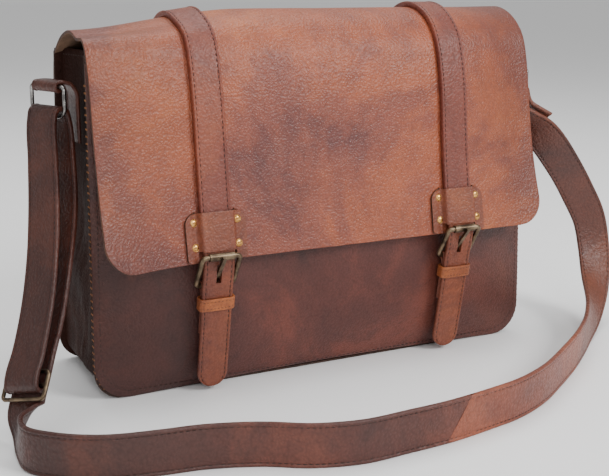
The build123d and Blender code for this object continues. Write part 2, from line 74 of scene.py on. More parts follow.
floor_mesh = bmesh.new()
bmesh.ops.create_grid(floor_mesh, x_segments=1, y_segments=1, size=12)
floor_data = bpy.data.meshes.new("floor")
floor_mesh.to_mesh(floor_data)
floor = bpy.data.objects.new("floor", floor_data)
floor_paint = bpy.data.materials.new("floor_paint")
floor_paint.use_nodes = True
floor_paint.node_tree.nodes["Principled BSDF"].inputs["Base Color"].default_value = (0.95, 0.95, 0.95, 1)
floor_paint.node_tree.nodes["Principled BSDF"].inputs["Roughness"].default_value = 0.9
floor_data.materials.append(floor_paint)
bpy.context.scene.collection.objects.link(floor)

world = bpy.data.worlds.new("white_room")
world.use_nodes = True
world.node_tree.nodes["Background"].inputs["Color"].default_value = (1, 1, 1, 1)
world.node_tree.nodes["Background"].inputs["Strength"].default_value = 0.55
bpy.context.scene.world = world


def soft_light(name, place, aim, size, power):
    lamp = bpy.data.lights.new(name, "AREA")
    lamp.size = size
    lamp.energy = power
    holder = bpy.data.objects.new(name, lamp)
    turn = (Vector(aim) - Vector(place)).to_track_quat("-Z", "Y")
    holder.matrix_world = Matrix.Translation(place) @ turn.to_matrix().to_4x4()
    bpy.context.scene.collection.objects.link(holder)


soft_light("key", (0.9, -1.5, 1.3), (0, 0, 0.15), 0.7, 27)
soft_light("front_sheen", (-0.5, -1.8, 0.9), (0, 0, 0.18), 0.7, 9)
soft_light("overhead", (0.1, 0.3, 1.9), (0, 0, 0.1), 1.6, 26)


# ------------------------------------------------------------------ leather, front panel
# The front panel is one piece of dark waxed cowhide with rounded lower corners. It is sewn
# flat to the gusset round its edge, and the stuffed bag pushes its middle forward.
def leather(name, tones, patch_size=9.0, grain=430.0, grain_depth=0.35, crease=(30, 30, 30),
            crease_depth=0.4, gloss=0.42, shine=0.5, painted_end_shade=None):
    """Mottled, grained leather. tones are (place on the ramp, linear colour) pairs, and the last
    argument, (from, to, amount), is painted shade: how much darker it gets with the distance from the bag's
    middle."""
    material = bpy.data.materials.new(name)
    material.use_nodes = True
    nodes, links = material.node_tree.nodes, material.node_tree.links
    shader = nodes["Principled BSDF"]
    where = nodes.new("ShaderNodeTexCoord")

    def texture(kind, scale, source, **settings):
        node = nodes.new(kind)
        node.inputs["Scale"].default_value = scale
        for key, value in settings.items():
            node.inputs[key].default_value = value
        links.new(source, node.inputs["Vector"])
        return node

    def math(operation, a, b):
        node = nodes.new("ShaderNodeMath")
        node.operation = operation
        for socket, value in zip(node.inputs, (a, b)):
            if isinstance(value, (int, float)):
                socket.default_value = value
            else:
                links.new(value, socket)
        return node.outputs[0]

    blotches = texture("ShaderNodeTexNoise", patch_size, where.outputs["Object"], Detail=6.0,
                       Roughness=0.62, Distortion=0.6)
    ramp = nodes.new("ShaderNodeValToRGB")
    ramp.color_ramp.interpolation = "EASE"
    while len(ramp.color_ramp.elements) < len(tones):
        ramp.color_ramp.elements.new(0.5)
    for element, (place, tone) in zip(ramp.color_ramp.elements, tones):
        element.position = place
        element.color = (*tone, 1)
    links.new(blotches.outputs["Fac"], ramp.inputs["Fac"])

    wander = texture("ShaderNodeTexNoise", 60, where.outputs["Object"], Detail=2.0)
    shift = nodes.new("ShaderNodeVectorMath")
    shift.operation = "MULTIPLY_ADD"
    shift.inputs[1].default_value = (0.006, 0.006, 0.006)
    links.new(wander.outputs["Color"], shift.inputs[0])
    links.new(where.outputs["Object"], shift.inputs[2])
    pebbles = texture("ShaderNodeTexVoronoi", grain, shift.outputs[0])
    pebbles.feature = "SMOOTH_F1"
    pores = texture("ShaderNodeTexNoise", grain * 2.2, where.outputs["Object"], Detail=3.0)
    stretch = nodes.new("ShaderNodeMapping")
    stretch.inputs["Scale"].default_value = crease
    links.new(shift.outputs[0], stretch.inputs["Vector"])
    folds = texture("ShaderNodeTexNoise", 1.0, stretch.outputs[0], Detail=5.0, Roughness=0.6)

    dust = math("MULTIPLY_ADD", pebbles.outputs["Distance"], -0.45)
    dust.node.inputs[2].default_value = 1.12
    wear = texture("ShaderNodeTexNoise", patch_size * 7, where.outputs["Object"], Detail=4.0)
    worn = math("MULTIPLY_ADD", wear.outputs["Fac"], 0.5)
    worn.node.inputs[2].default_value = 0.75
    value = math("MULTIPLY", dust, worn)
    # painted shade: the colour darkens towards the bag's ends, with the distance from its middle
    if painted_end_shade:
        axes = nodes.new("ShaderNodeSeparateXYZ")
        links.new(where.outputs["Object"], axes.inputs[0])
        reach = nodes.new("ShaderNodeMapRange")
        reach.interpolation_type = "SMOOTHSTEP"
        reach.inputs["From Min"].default_value = painted_end_shade[0]
        reach.inputs["From Max"].default_value = painted_end_shade[1]
        reach.inputs["To Min"].default_value = 1.0
        reach.inputs["To Max"].default_value = 1.0 - painted_end_shade[2]
        links.new(math("ABSOLUTE", axes.outputs["X"], 0.0), reach.inputs["Value"])
        value = math("MULTIPLY", value, reach.outputs["Result"])
    tint = nodes.new("ShaderNodeMix")
    tint.data_type = "RGBA"
    tint.blend_type = "MULTIPLY"
    tint.inputs["Factor"].default_value = 1.0
    links.new(ramp.outputs["Color"], tint.inputs["A"])
    grey = nodes.new("ShaderNodeCombineColor")
    for channel in ("Red", "Green", "Blue"):
        links.new(value, grey.inputs[channel])
    links.new(grey.outputs[0], tint.inputs["B"])
    links.new(tint.outputs["Result"], shader.inputs["Base Color"])

    rough = math("MULTIPLY_ADD", pebbles.outputs["Distance"], 0.3)
    rough.node.inputs[2].default_value = gloss - 0.08
    rough = math("ADD", rough, math("MULTIPLY", wear.outputs["Fac"], 0.12))
    links.new(rough, shader.inputs["Roughness"])

    deep = nodes.new("ShaderNodeBump")
    deep.inputs["Strength"].default_value = crease_depth
    deep.inputs["Distance"].default_value = 0.003
    links.new(folds.outputs["Fac"], deep.inputs["Height"])
    fine = nodes.new("ShaderNodeBump")
    fine.inputs["Strength"].default_value = grain_depth
    fine.inputs["Distance"].default_value = 0.0012
    height = math("ADD", math("MULTIPLY", pebbles.outputs["Distance"], -1.0),
                  math("MULTIPLY", pores.outputs["Fac"], 0.35))
    links.new(height, fine.inputs["Height"])
    links.new(deep.outputs["Normal"], fine.inputs["Normal"])
    links.new(fine.outputs["Normal"], shader.inputs["Normal"])
    shader.inputs["Specular IOR Level"].default_value = shine
    return material


def make_piece(name, shape, materials, facing):
    """Turns a bmesh into a named object. facing is the way the middle of an open sheet looks."""
    bmesh.ops.recalc_face_normals(shape, faces=shape.faces)
    if facing:
        shape.faces.ensure_lookup_table()
        middle = shape.faces[len(shape.faces) // 2]
        middle.normal_update()
        if middle.normal.dot(Vector(facing)) < 0:
            bmesh.ops.reverse_faces(shape, faces=shape.faces)
    data = bpy.data.meshes.new(name)
    shape.to_mesh(data)
    shape.free()
    for material in materials:
        data.materials.append(material)
    data.polygons.foreach_set("use_smooth", [True] * len(data.polygons))
    data.set_sharp_from_angle(angle=radians(55))
    made = bpy.data.objects.new(name, data)
    bpy.context.scene.collection.objects.link(made)
    return made


def thicken(made, thickness, offset, rim_slot=1, back_slot=0):
    """Gives a sheet its leather thickness, with the cut edge in the rim's material."""
    wall = made.modifiers.new("leather", "SOLIDIFY")
    wall.thickness = thickness
    wall.offset = offset
    wall.use_even_offset = False
    wall.material_offset = back_slot
    wall.material_offset_rim = rim_slot
    round_edge = made.modifiers.new("cut_edge", "BEVEL")
    round_edge.width = 0.5 * mm
    round_edge.segments = 2
    round_edge.limit_method = "ANGLE"
    round_edge.angle_limit = radians(60)


def shaped_grid(columns, rows, place):
    """A grid whose points, from -1 to 1 across and 0 to 1 along, are put where place says."""
    shape = bmesh.new()
    bmesh.ops.create_grid(shape, x_segments=columns, y_segments=rows, size=1)
    for vert in shape.verts:
        vert.co = place(vert.co.x, (vert.co.y + 1) / 2)
    return shape


def ease(value):
    value = min(max(value, 0.0), 1.0)
    return value * value * (3 - 2 * value)


bag_half = (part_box("front_panel")[1][0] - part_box("front_panel")[0][0]) / 2
bag_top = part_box("gusset")[1][2]
base_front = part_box("gusset")[0][1] - 2.5 * mm
base_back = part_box("back_panel")[1][1]
mouth_back = base_back - 30 * mm
corner = 28 * mm


def lean(x, z):
    """The stuffed bag is a little twisted: its left end stands forward, its right end back."""
    left, right = ease((-x - 0.12) / 0.08), ease((x - 0.12) / 0.08)
    return ease(z / 0.24) * (11 * mm * right - 7 * mm * left)


def front_y(x, z):
    share = 1 - abs(x / bag_half) ** 4
    swell = 17 * mm * share * max(sin(pi * min(max(z / bag_top, 0), 1) ** 0.75), 0)
    dents = noise.noise(Vector((x * 14, z * 16, 3.1))) * 2.2 * mm * share * ease(z / 0.03)
    dents += noise.noise(Vector((x * 34, z * 30, 7.7))) * 0.8 * mm * share * ease(z / 0.03)
    return base_front - swell - dents + lean(x, z)


def half_at(z):
    """Half width of a panel with rounded lower corners."""
    if z >= corner:
        return bag_half
    return bag_half - corner + sqrt(max(corner ** 2 - (corner - z) ** 2, 0))


# painted shade: the panel leather darkens towards the bag's ends
oxblood = leather("oxblood_leather", ((0.28, (0.042, 0.013, 0.011)), (0.45, (0.088, 0.023, 0.017)),
                                      (0.60, (0.150, 0.038, 0.024)), (0.78, (0.235, 0.062, 0.032))),
                  patch_size=9, grain=640, grain_depth=0.4, crease=(24, 24, 24), crease_depth=0.25,
                  gloss=0.38, painted_end_shade=(0.08, 0.20, 0.45))
raw_edge = leather("raw_edge", ((0.3, (0.030, 0.013, 0.009)), (0.7, (0.075, 0.030, 0.016))),
                   patch_size=60, grain=900, gloss=0.6)
panel_top = bag_top - 6 * mm


def front_place(across, along):
    z = panel_top * along ** 1.25
    x = across * half_at(z)
    lift = 3.5 * mm * max(cos(pi * x / 0.34), 0) * (1 - ease(z / 0.05))
    return Vector((x, front_y(x, z), z + lift))


panel_thick = 2.4 * mm
front_panel = make_piece("front_panel_leather", shaped_grid(96, 70, front_place), (oxblood, raw_edge),
                         (0, -1, 0))
thicken(front_panel, panel_thick, -1)
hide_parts("front_panel")
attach(front_panel, "bag")


# ------------------------------------------------------------------ back panel
# The same leather behind, nearly flat, leaning forward from the base to the mouth. Its top
# edge is sewn inside the flap's rear edge.
def back_y(z):
    return base_back + (mouth_back - base_back) * z / bag_top


def back_place(across, along):
    z = (bag_top - 2 * mm) * along ** 1.2
    x = across * half_at(z)
    share = 1 - abs(x / bag_half) ** 4
    swell = 3 * mm * share * sin(pi * min(z / bag_top, 1))
    dents = noise.noise(Vector((x * 12, z * 14, 21.0))) * 1.6 * mm * share
    dents *= ease(z / 0.03) * ease((bag_top - z) / 0.06)
    return Vector((x, back_y(z) + swell + dents - 0.2 * mm, z))


def back_face(x, z):
    """Point on the back panel's outer face at a height."""
    return back_place(x / bag_half, (z / (bag_top - 2 * mm)) ** (1 / 1.2))


back_panel = make_piece("back_panel_leather", shaped_grid(80, 60, back_place), (oxblood, raw_edge),
                        (0, 1, 0))
thicken(back_panel, panel_thick, -1)
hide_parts("back_panel")
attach(back_panel, "bag")

# ------------------------------------------------------------------ gusset
# One long strip of leather round both ends and the base, much darker than the panels: its dark
# colour is painted shade. Its edges are turned out and sewn behind the panels, so a double raw
# edge shows all round; it creases at the ends.
painted_shade_umber = leather("gusset_painted_shade_leather", ((0.3, (0.014, 0.006, 0.005)), (0.5, (0.028, 0.010, 0.007)),
                                  (0.75, (0.052, 0.017, 0.010))),
                patch_size=10, grain=600, grain_depth=0.45, crease=(40, 40, 24), crease_depth=0.5,
                gloss=0.52, shine=0.06)
flange = 5 * mm
turn_radius = corner - flange


def gusset_path(run):
    """Point and outward direction (x, z) on the U-shaped line, run from -1 (left top) to 1."""
    side = bag_top - corner
    arc = pi / 2 * turn_radius
    flat = bag_half - corner
    total = side + arc + flat
    at = (1 - abs(run)) * total
    sign = 1 if run >= 0 else -1
    if at < side:
        return sign * (bag_half - flange), bag_top - at, sign, 0.0
    if at < side + arc:
        turn = (at - side) / turn_radius
        x = bag_half - corner + turn_radius * cos(turn)
        return sign * x, corner - turn_radius * sin(turn) - flange, sign * cos(turn), -sin(turn)
    return sign * (flat - (at - side - arc)), 0.0, 0.0, -1.0


def gusset_sag(x, depth, z):
    """How far the end wall folds inwards between its two seams."""
    middle = sin(pi * min(max(depth, 0), 1))
    height = ease(z / 0.26)
    inward = (7 * height - 3 * sin(pi * min(z / 0.2, 1))) * mm
    inward += noise.noise(Vector((depth * 2.6, z * 22, 5 + x * 9))) * 4 * mm
    inward += abs(noise.noise(Vector((depth * 5, z * 30 + depth * 4, 9 + x)))) * 3 * mm
    return inward * middle


def gusset_place(across, along):
    x, z, out_x, out_z = gusset_path(2 * along - 1)
    depth = (across + 1) / 2
    low, high = base_front + lean(x, z) + 2.5 * mm, back_y(z) - 2.5 * mm
    turned = max(1 - depth * 26, 1 - (1 - depth) * 26, 0.0)
    away = flange * ease(turned * 1.6) * abs(out_x)
    away -= gusset_sag(x, depth, z) * abs(out_x)
    sit = max(z + away * out_z, 0.0)
    return Vector((x + away * out_x, low + (high - low) * depth, sit))


gusset = make_piece("gusset_leather", shaped_grid(52, 260, gusset_place), (painted_shade_umber, raw_edge),
                    (0, 0, -1))
thicken(gusset, 2.0 * mm, -1)
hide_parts("gusset")
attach(gusset, "bag")

# ------------------------------------------------------------------ flap
# One big sheet of burnished tan hide with raw edges, with painted shade that darkens it towards
# its ends. It is sewn to the back panel, arches over the mouth and hangs down the front; its lower
# corners curl forward.
tan = leather("tan_leather", ((0.33, (0.120, 0.032, 0.026)), (0.44, (0.225, 0.056, 0.032)),
                              (0.53, (0.330, 0.080, 0.031)), (0.68, (0.450, 0.122, 0.033))),
              patch_size=6.5, grain=600, grain_depth=0.5, crease=(18, 18, 18), crease_depth=0.12,
              gloss=0.29, painted_end_shade=(0.10, 0.20, 0.28))
suede = leather("flesh_side", ((0.3, (0.16, 0.085, 0.05)), (0.7, (0.26, 0.15, 0.09))), patch_size=30,
                grain=1500, gloss=0.85, crease_depth=0.2)
flap_edge = leather("flap_edge", ((0.3, (0.045, 0.018, 0.012)), (0.7, (0.12, 0.045, 0.02))),
                    patch_size=60, grain=900, gloss=0.6)


def smooth_line(points, steps=6, spans=None):
    """A finer line through the points: cubic, its pace set by the spans between them."""
    spans = spans or [(b - a).length for a, b in zip(points, points[1:])]
    slopes = [(b - a) / span for a, b, span in zip(points, points[1:], spans)]
    paces = [slopes[0]]
    for before, after, first, second in zip(slopes, slopes[1:], spans, spans[1:]):
        paces.append((before * second + after * first) / (first + second))
    paces.append(slopes[-1])
    line = []
    for a, b, start, end, span in zip(points, points[1:], paces, paces[1:], spans):
        for k in range(steps):
            t = k / steps
            line.append(a * (2 * t ** 3 - 3 * t ** 2 + 1) + start * span * (t ** 3 - 2 * t ** 2 + t)
                        + b * (3 * t ** 2 - 2 * t ** 3) + end * span * (t ** 3 - t ** 2))
    return line + [points[-1]]


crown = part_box("flap_saddle")[1][2]
flap_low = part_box("flap_drop")[0][2]
fall = crown - 13 * mm - flap_low
flap_line = [Vector((mouth_back + dy * mm, bag_top + dz * mm)) for dy, dz in
             ((5.6, -26), (4.3, -14), (2.9, -2), (0.6, 9))]
flap_line += [Vector((mouth_back - dy * mm, crown - dz * mm)) for dy, dz in
              ((8, 11), (20, 3.5), (37, 0), (55, 3.5), (70, 13))]
flap_line += [Vector((base_front - dy * mm, z)) for dy, z in
              ((0, crown - 26 * mm), (6, crown - 44 * mm), (10, crown - 64 * mm),
               (15, flap_low + 0.47 * fall), (20.5, flap_low + 0.235 * fall), (27, flap_low))]
flap_line = smooth_line(flap_line, 8)
flap_runs = [0.0]
for a, b in zip(flap_line, flap_line[1:]):
    flap_runs.append(flap_runs[-1] + (b - a).length)
flap_length = flap_runs[-1]


def flap_at(run):
    """(y, z) on the flap's outer line at a distance from its rear edge."""
    run = min(max(run, 0.0), flap_length)
    k = max(i for i, v in enumerate(flap_runs[:-1]) if v <= run)
    share = (run - flap_runs[k]) / (flap_runs[k + 1] - flap_runs[k])
    return flap_line[k].lerp(flap_line[k + 1], share)


def flap_run_to(height):
    """Distance along the front of the flap to a height."""
    for k in range(len(flap_line) - 1, 0, -1):
        if flap_line[k - 1].y >= height >= flap_line[k].y:
            share = (flap_line[k - 1].y - height) / (flap_line[k - 1].y - flap_line[k].y)
            return flap_runs[k - 1] + share * (flap_runs[k] - flap_runs[k - 1])
    return flap_length


def flap_point(x, run):
    y, z = flap_at(run)
    low_left = 15 * mm * ease((-x - 0.06) / 0.14)
    rise = ease((z - 0.236) / 0.05) * ease((y + 0.056) / 0.026)
    drop = max(0.230 - z, 0) / (0.230 - flap_low)
    side = 18 * mm if x < 0 else 9 * mm
    flare = side * abs(x / bag_half) ** 4 * drop ** 2 if y < 0 else 0
    wave = noise.noise(Vector((x * 13, run * 9, 1.3))) * 1.5 * mm
    wave += noise.noise(Vector((x * 30, run * 24, 4.3))) * 0.45 * mm
    wave *= ease((run - 0.06) / 0.04)
    shift = lean(x, min(z, bag_top)) * (1 if y < 0 else max(1 - y / 0.03, 0))
    hanging = y < -0.05
    forward = flare + abs(wave) * hanging - shift
    return Vector((x, y - forward, z - low_left * rise + wave * (not hanging)))


def flap_frame(x, run):
    """Point, direction across, outward normal and direction along, on the flap's face."""
    step = 0.5 * mm
    here = flap_point(x, run)
    across = (flap_point(x + step, run) - flap_point(x - step, run)).normalized()
    along = (flap_point(x, run + step) - flap_point(x, run - step)).normalized()
    return here, across, along.cross(across).normalized(), along


flap_split = 75 * mm
flap_corner = 24 * mm


def flap_half(run):
    """Half width of the flap, with rounded lower corners."""
    left = flap_length - run
    half = bag_half - 0.3 * mm
    if left < flap_corner:
        half -= flap_corner - sqrt(max(flap_corner ** 2 - (flap_corner - left) ** 2, 0))
    return half


def flap_front_place(across, along):
    run = flap_split + (flap_length - flap_split) * (1 - (1 - along) ** 1.15)
    return flap_point(across * flap_half(run), run)


def flap_rear_place(across, along):
    run = flap_split * along
    return flap_point(across * flap_half(run), run)


# the flap is built as a front piece and a rear piece, which meet at flap_split
flap = make_piece("flap_leather", shaped_grid(110, 120, flap_front_place), (tan, flap_edge, suede),
                  (0, -1, 0))
thicken(flap, panel_thick, -1, 1, 2)
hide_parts("flap_saddle", "flap_drop")
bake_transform(flap)
flap_rear = make_piece("flap_rear_leather", shaped_grid(110, 26, flap_rear_place), (tan, flap_edge, suede),
                       (0, 1, 0))
thicken(flap_rear, panel_thick, -1, 1, 2)
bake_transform(flap_rear)

# ------------------------------------------------------------------ lining
# Plain sand coloured cotton lines the inside, hanging a little loose from a hem just below
# the mouth, with one open pocket sewn to the back wall.
cotton = bpy.data.materials.new("cotton_lining")
cotton.use_nodes = True
weave = cotton.node_tree.nodes.new("ShaderNodeTexNoise")
weave.inputs["Scale"].default_value = 90
weave.inputs["Detail"].default_value = 8
yarn = cotton.node_tree.nodes.new("ShaderNodeTexWave")
yarn.inputs["Scale"].default_value = 700
yarn.inputs["Distortion"].default_value = 1.5
inside = cotton.node_tree.nodes.new("ShaderNodeTexCoord")
dye = cotton.node_tree.nodes.new("ShaderNodeValToRGB")
dye.color_ramp.elements[0].color = (0.25, 0.19, 0.12, 1)
dye.color_ramp.elements[1].color = (0.42, 0.34, 0.23, 1)
cloth_bump = cotton.node_tree.nodes.new("ShaderNodeBump")
cloth_bump.inputs["Distance"].default_value = 0.0003
cloth_links, cloth_shader = cotton.node_tree.links, cotton.node_tree.nodes["Principled BSDF"]
cloth_links.new(inside.outputs["Object"], weave.inputs["Vector"])
cloth_links.new(inside.outputs["Object"], yarn.inputs["Vector"])
cloth_links.new(weave.outputs["Fac"], dye.inputs["Fac"])
cloth_links.new(dye.outputs["Color"], cloth_shader.inputs["Base Color"])
cloth_links.new(yarn.outputs["Fac"], cloth_bump.inputs["Height"])
cloth_links.new(cloth_bump.outputs["Normal"], cloth_shader.inputs["Normal"])
cloth_shader.inputs["Roughness"].default_value = 0.9
cloth_shader.inputs["Sheen Weight"].default_value = 0.3

lining_low, lining_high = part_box("lining")
bag_sack = bmesh.new()
bmesh.ops.create_cube(bag_sack, size=1)
bmesh.ops.delete(bag_sack, geom=[f for f in bag_sack.faces if f.normal.z > 0.5], context="FACES")
lower_ends = [e for e in bag_sack.edges if all(v.co.z < 0 for v in e.verts)
              and abs(e.verts[0].co.x - e.verts[1].co.x) < 0.1]
bmesh.ops.scale(bag_sack, verts=bag_sack.verts, vec=(lining_high[0] - lining_low[0], 1,
                                                     lining_high[2] - lining_low[2]))
bmesh.ops.bevel(bag_sack, geom=lower_ends, offset=corner - 8 * mm, affect="EDGES", segments=8,
                profile=0.5, material=-1)
bmesh.ops.subdivide_edges(bag_sack, edges=bag_sack.edges, cuts=14, use_grid_fill=True)
for vert in bag_sack.verts:
    x, z = vert.co.x, vert.co.z + (lining_low[2] + lining_high[2]) / 2
    front, rear = base_front + 5.6 * mm + lean(x, z), back_y(z) - 5.6 * mm
    sag = abs(noise.noise(Vector((x * 16, z * 14, vert.co.y * 2)))) * 3 * mm * ease((z - 0.01) / 0.03)
    depth = vert.co.y + 0.5
    y = front + (rear - front) * depth + (sag if depth < 0.1 else 0) - (sag if depth > 0.9 else 0)
    drawn_in = (max(gusset_sag(x, depth, z), 0) + 1.5 * mm) * ease((abs(x) - 0.15) / 0.04)
    vert.co = Vector((x - drawn_in * (1 if x > 0 else -1), y, z))
lining = make_piece("lining_cloth", bag_sack, (cotton,), None)
thicken(lining, 0.7 * mm, 1, 0)
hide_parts("lining")
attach(lining, "bag")

pocket_low, pocket_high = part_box("inner_pocket")


def pocket_place(across, along):
    x = across * (pocket_high[0] - pocket_low[0]) / 2
    z = pocket_low[2] + (pocket_high[2] - pocket_low[2]) * along
    gape = 3 * mm * (1 - across ** 2) * ease((along - 0.5) * 2)
    return Vector((x, back_y(z) - 7.2 * mm - gape, z - 1.5 * mm * (1 - across ** 2) * along))


pocket = make_piece("inner_pocket_cloth", shaped_grid(30, 18, pocket_place), (cotton,),
                    (0, -1, 0))
thicken(pocket, 0.9 * mm, 1, 0)
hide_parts("inner_pocket")
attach(pocket, "bag")


# ------------------------------------------------------------------ seams of the body
# Waxed thread shows in a row 5 mm inside the panels' edges and in the gusset's hems. It is
# dark, except for the tan thread that shows between the leathers at the two upright corners.
def thread(name, tone):
    material = bpy.data.materials.new(name)
    material.use_nodes = True
    shader = material.node_tree.nodes["Principled BSDF"]
    shader.inputs["Base Color"].default_value = (*tone, 1)
    shader.inputs["Roughness"].default_value = 0.6
    twist = material.node_tree.nodes.new("ShaderNodeTexWave")
    twist.inputs["Scale"].default_value = 900
    ply = material.node_tree.nodes.new("ShaderNodeBump")
    ply.inputs["Distance"].default_value = 0.0002
    spot = material.node_tree.nodes.new("ShaderNodeTexCoord")
    material.node_tree.links.new(spot.outputs["Object"], twist.inputs["Vector"])
    material.node_tree.links.new(twist.outputs["Fac"], ply.inputs["Height"])
    material.node_tree.links.new(ply.outputs["Normal"], shader.inputs["Normal"])
    return material


dark_thread = thread("dark_thread", (0.035, 0.014, 0.010))
tan_thread = thread("tan_thread", (0.34, 0.13, 0.045))


# stitches are put together this many at a time, because one growing mesh is slow
bundle_size = 40


def stitches(name, rows, material, pitch=4.2 * mm, fill=0.72, radius=0.42 * mm, sunk=0.1 * mm):
    """Rows of thread; each row is a list of (point on the surface, outward normal)."""
    sewing = bmesh.new()
    for row in rows:
        run, places = 0.0, []
        target = pitch / 2
        for (a, normal), (b, _) in zip(row, row[1:]):
            size = (b - a).length
            while size > 0 and target <= run + size:
                places.append((a.lerp(b, (target - run) / size), (b - a).normalized(), normal))
                target += pitch
            run += size
        for first in range(0, len(places), bundle_size):
            few = bmesh.new()
            for point, along, normal in places[first:first + bundle_size]:
                side = normal.cross(along).normalized()
                lift = along.cross(side)
                lie = Matrix((along, side, lift)).transposed().to_4x4()
                size = Matrix.Diagonal((pitch * fill / 2, radius, radius * 0.9, 1))
                seat = Matrix.Translation(point - lift * sunk)
                bmesh.ops.create_uvsphere(few, u_segments=6, v_segments=4, radius=1,
                                          matrix=seat @ lie @ size)
            bundle = bpy.data.meshes.new("thread_bundle")
            few.to_mesh(bundle)
            few.free()
            sewing.from_mesh(bundle)
            bpy.data.meshes.remove(bundle)
    return make_piece(name, sewing, (material,), None)


def panel_row(inset, place, low, top, normal):
    """Points round the two sides and the bottom of a panel, inset from its edge."""
    def edge(z):
        return half_at(max(z - inset, 0)) - inset if z < corner else bag_half - inset
    heights = [low + (top - low) * k / 60 for k in range(61)]
    left = [Vector((-edge(z), place(-edge(z), z), z)) for z in reversed(heights)]
    right = [Vector((edge(z), place(edge(z), z), z)) for z in heights]
    bottom_x = [-edge(low) + 2 * edge(low) * k / 60 for k in range(1, 60)]
    bottom = [Vector((x, place(x, low), low)) for x in bottom_x]
    return [(p, Vector(normal)) for p in left + bottom + right]


seam_inset = 5 * mm
lowest_stitch = 6 * mm
front_row = panel_row(seam_inset, front_y, lowest_stitch, panel_top, (0, -1, 0))
front_seam = stitches("front_panel_thread", [front_row], dark_thread)
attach(front_seam, "bag")
back_row = panel_row(seam_inset, lambda x, z: back_face(x, z).y, lowest_stitch, bag_top - 30 * mm, (0, 1, 0))
back_seam = stitches("back_panel_thread", [back_row], dark_thread)
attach(back_seam, "bag")

corner_heights = [8 * mm + 236 * mm * k / 80 for k in range(81)]
edge_rows = []
for sign in (-1, 1):
    for depth in (0.6 * mm, 3.6 * mm):
        edge_rows.append([(Vector((sign * (half_at(z) + 0.1 * mm), front_y(sign * half_at(z), z) + depth, z)),
                           Vector((sign, 0, 0))) for z in corner_heights])
edge_seam = stitches("edge_seam_thread", edge_rows, tan_thread, pitch=5.2 * mm, fill=0.35,
                     radius=0.5 * mm)
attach(edge_seam, "bag")
hem_rows = []
for sign in (-1, 1):
    hem = []
    for k in range(41):
        depth = 0.06 + 0.88 * k / 40
        on_hem = gusset_place(2 * depth - 1, 0.5 + sign * 0.495)
        hem.append((on_hem + Vector((sign * 0.1 * mm, 0, 0)), Vector((sign, 0, 0))))
    hem_rows.append(hem)
hem_seam = stitches("gusset_hem_thread", hem_rows, dark_thread, pitch=3.6 * mm)
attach(hem_seam, "bag")

# ------------------------------------------------------------------ flap straps
# Two straps of redder leather with turned, stitched edges run from the back panel over the
# flap and down its front. They are sewn to the flap.
russet = leather("russet_leather", ((0.25, (0.105, 0.027, 0.019)), (0.48, (0.175, 0.040, 0.024)),
                                    (0.62, (0.240, 0.058, 0.028)), (0.8, (0.310, 0.080, 0.032))),
                 patch_size=12, grain=520, grain_depth=0.4, crease=(40, 40, 40), crease_depth=0.3,
                 gloss=0.36)


def strap_path(stations, steps=6):
    """A function giving centre, along, across and outward at a distance, and the path's length."""
    centres = [Vector(c) for c, _ in stations]
    spans = [(b - a).length for a, b in zip(centres, centres[1:])]
    centres = smooth_line(centres, steps, spans)
    widths = smooth_line([Vector(a) for _, a in stations], steps, spans)
    runs = [0.0]
    for a, b in zip(centres, centres[1:]):
        runs.append(runs[-1] + (b - a).length)

    def at(run):
        run = min(max(run, 0), runs[-1])
        k = min(max(bisect_right(runs, run) - 1, 0), len(runs) - 2)
        share = (run - runs[k]) / (runs[k + 1] - runs[k])
        before = (centres[min(k + 1, len(centres) - 1)] - centres[max(k - 1, 0)]).normalized()
        after = (centres[min(k + 2, len(centres) - 1)] - centres[k]).normalized()
        along = before.lerp(after, share).normalized()
        across = widths[k].lerp(widths[k + 1], share)
        across = (across - along * across.dot(along)).normalized()
        return centres[k].lerp(centres[k + 1], share), along, across, along.cross(across)
    return at, runs[-1]


def edge_profile(half, thickness, stitch_in, bead=0.35 * mm, groove=0.35 * mm, both=True,
                 middle=2.1 * mm):
    """Section of a strap with rounded edges and a groove for each row of stitches."""
    def top(x):
        from_edge = half - abs(x)
        height = thickness / 2 + bead * exp(-((from_edge - 1.3 * mm) / (0.8 * mm)) ** 2)
        height -= groove * exp(-((from_edge - stitch_in) / (0.5 * mm)) ** 2)
        round_over = max(0.8 * mm - from_edge, 0)
        return height - round_over ** 2 / (0.8 * mm)
    inward = [0, 0.25 * mm, 0.8 * mm, 1.4 * mm, 1.9 * mm, stitch_in - 0.35 * mm, stitch_in,
              stitch_in + 0.6 * mm, stitch_in + 1.6 * mm]
    xs = [-half + d for d in inward] + [-half / 2, -middle, middle, half / 2]
    xs += [half - d for d in reversed(inward)]

    def under(x):
        return -top(x) if both else -thickness / 2 + max(0.5 * mm - half + abs(x), 0)
    return [(x, top(x)) for x in xs] + [(x, under(x)) for x in reversed(xs)]


def strap_shell(at, start, end, profile, rows, half=None, slant=0.0, wave=0.0):
    """A closed strap along a path; half(run) narrows it, slant cuts its start on the skew."""
    count = len(profile)
    widest = max(x for x, _ in profile)

    def place(across, along):
        spot = (across + 1) / 2 * count
        k = int(spot) % count
        a, b = profile[k], profile[(k + 1) % count]
        x = a[0] + (b[0] - a[0]) * (spot - int(spot))
        h = a[1] + (b[1] - a[1]) * (spot - int(spot))
        begin = start + slant * x / widest
        run = begin + (end - begin) * along
        if half:
            x *= half(run) / widest
        centre, _, sideways, outward = at(run)
        ripple = noise.noise(Vector((run * 28, x * 30, start * 50 + 1))) * wave
        return centre + sideways * x + outward * (h + ripple)

    shell = shaped_grid(count, rows, place)
    bmesh.ops.remove_doubles(shell, verts=shell.verts, dist=0.01 * mm)
    bmesh.ops.holes_fill(shell, edges=[e for e in shell.edges if e.is_boundary], sides=0)
    return shell


def cut_slot(shell, inside):
    """Opens a slot through a strap where inside says, with walls between its two faces."""
    gone = [f for f in shell.faces if inside(f.calc_center_median())]
    bmesh.ops.delete(shell, geom=gone, context="FACES")
    bmesh.ops.bridge_loops(shell, edges=[e for e in shell.edges if e.is_boundary])


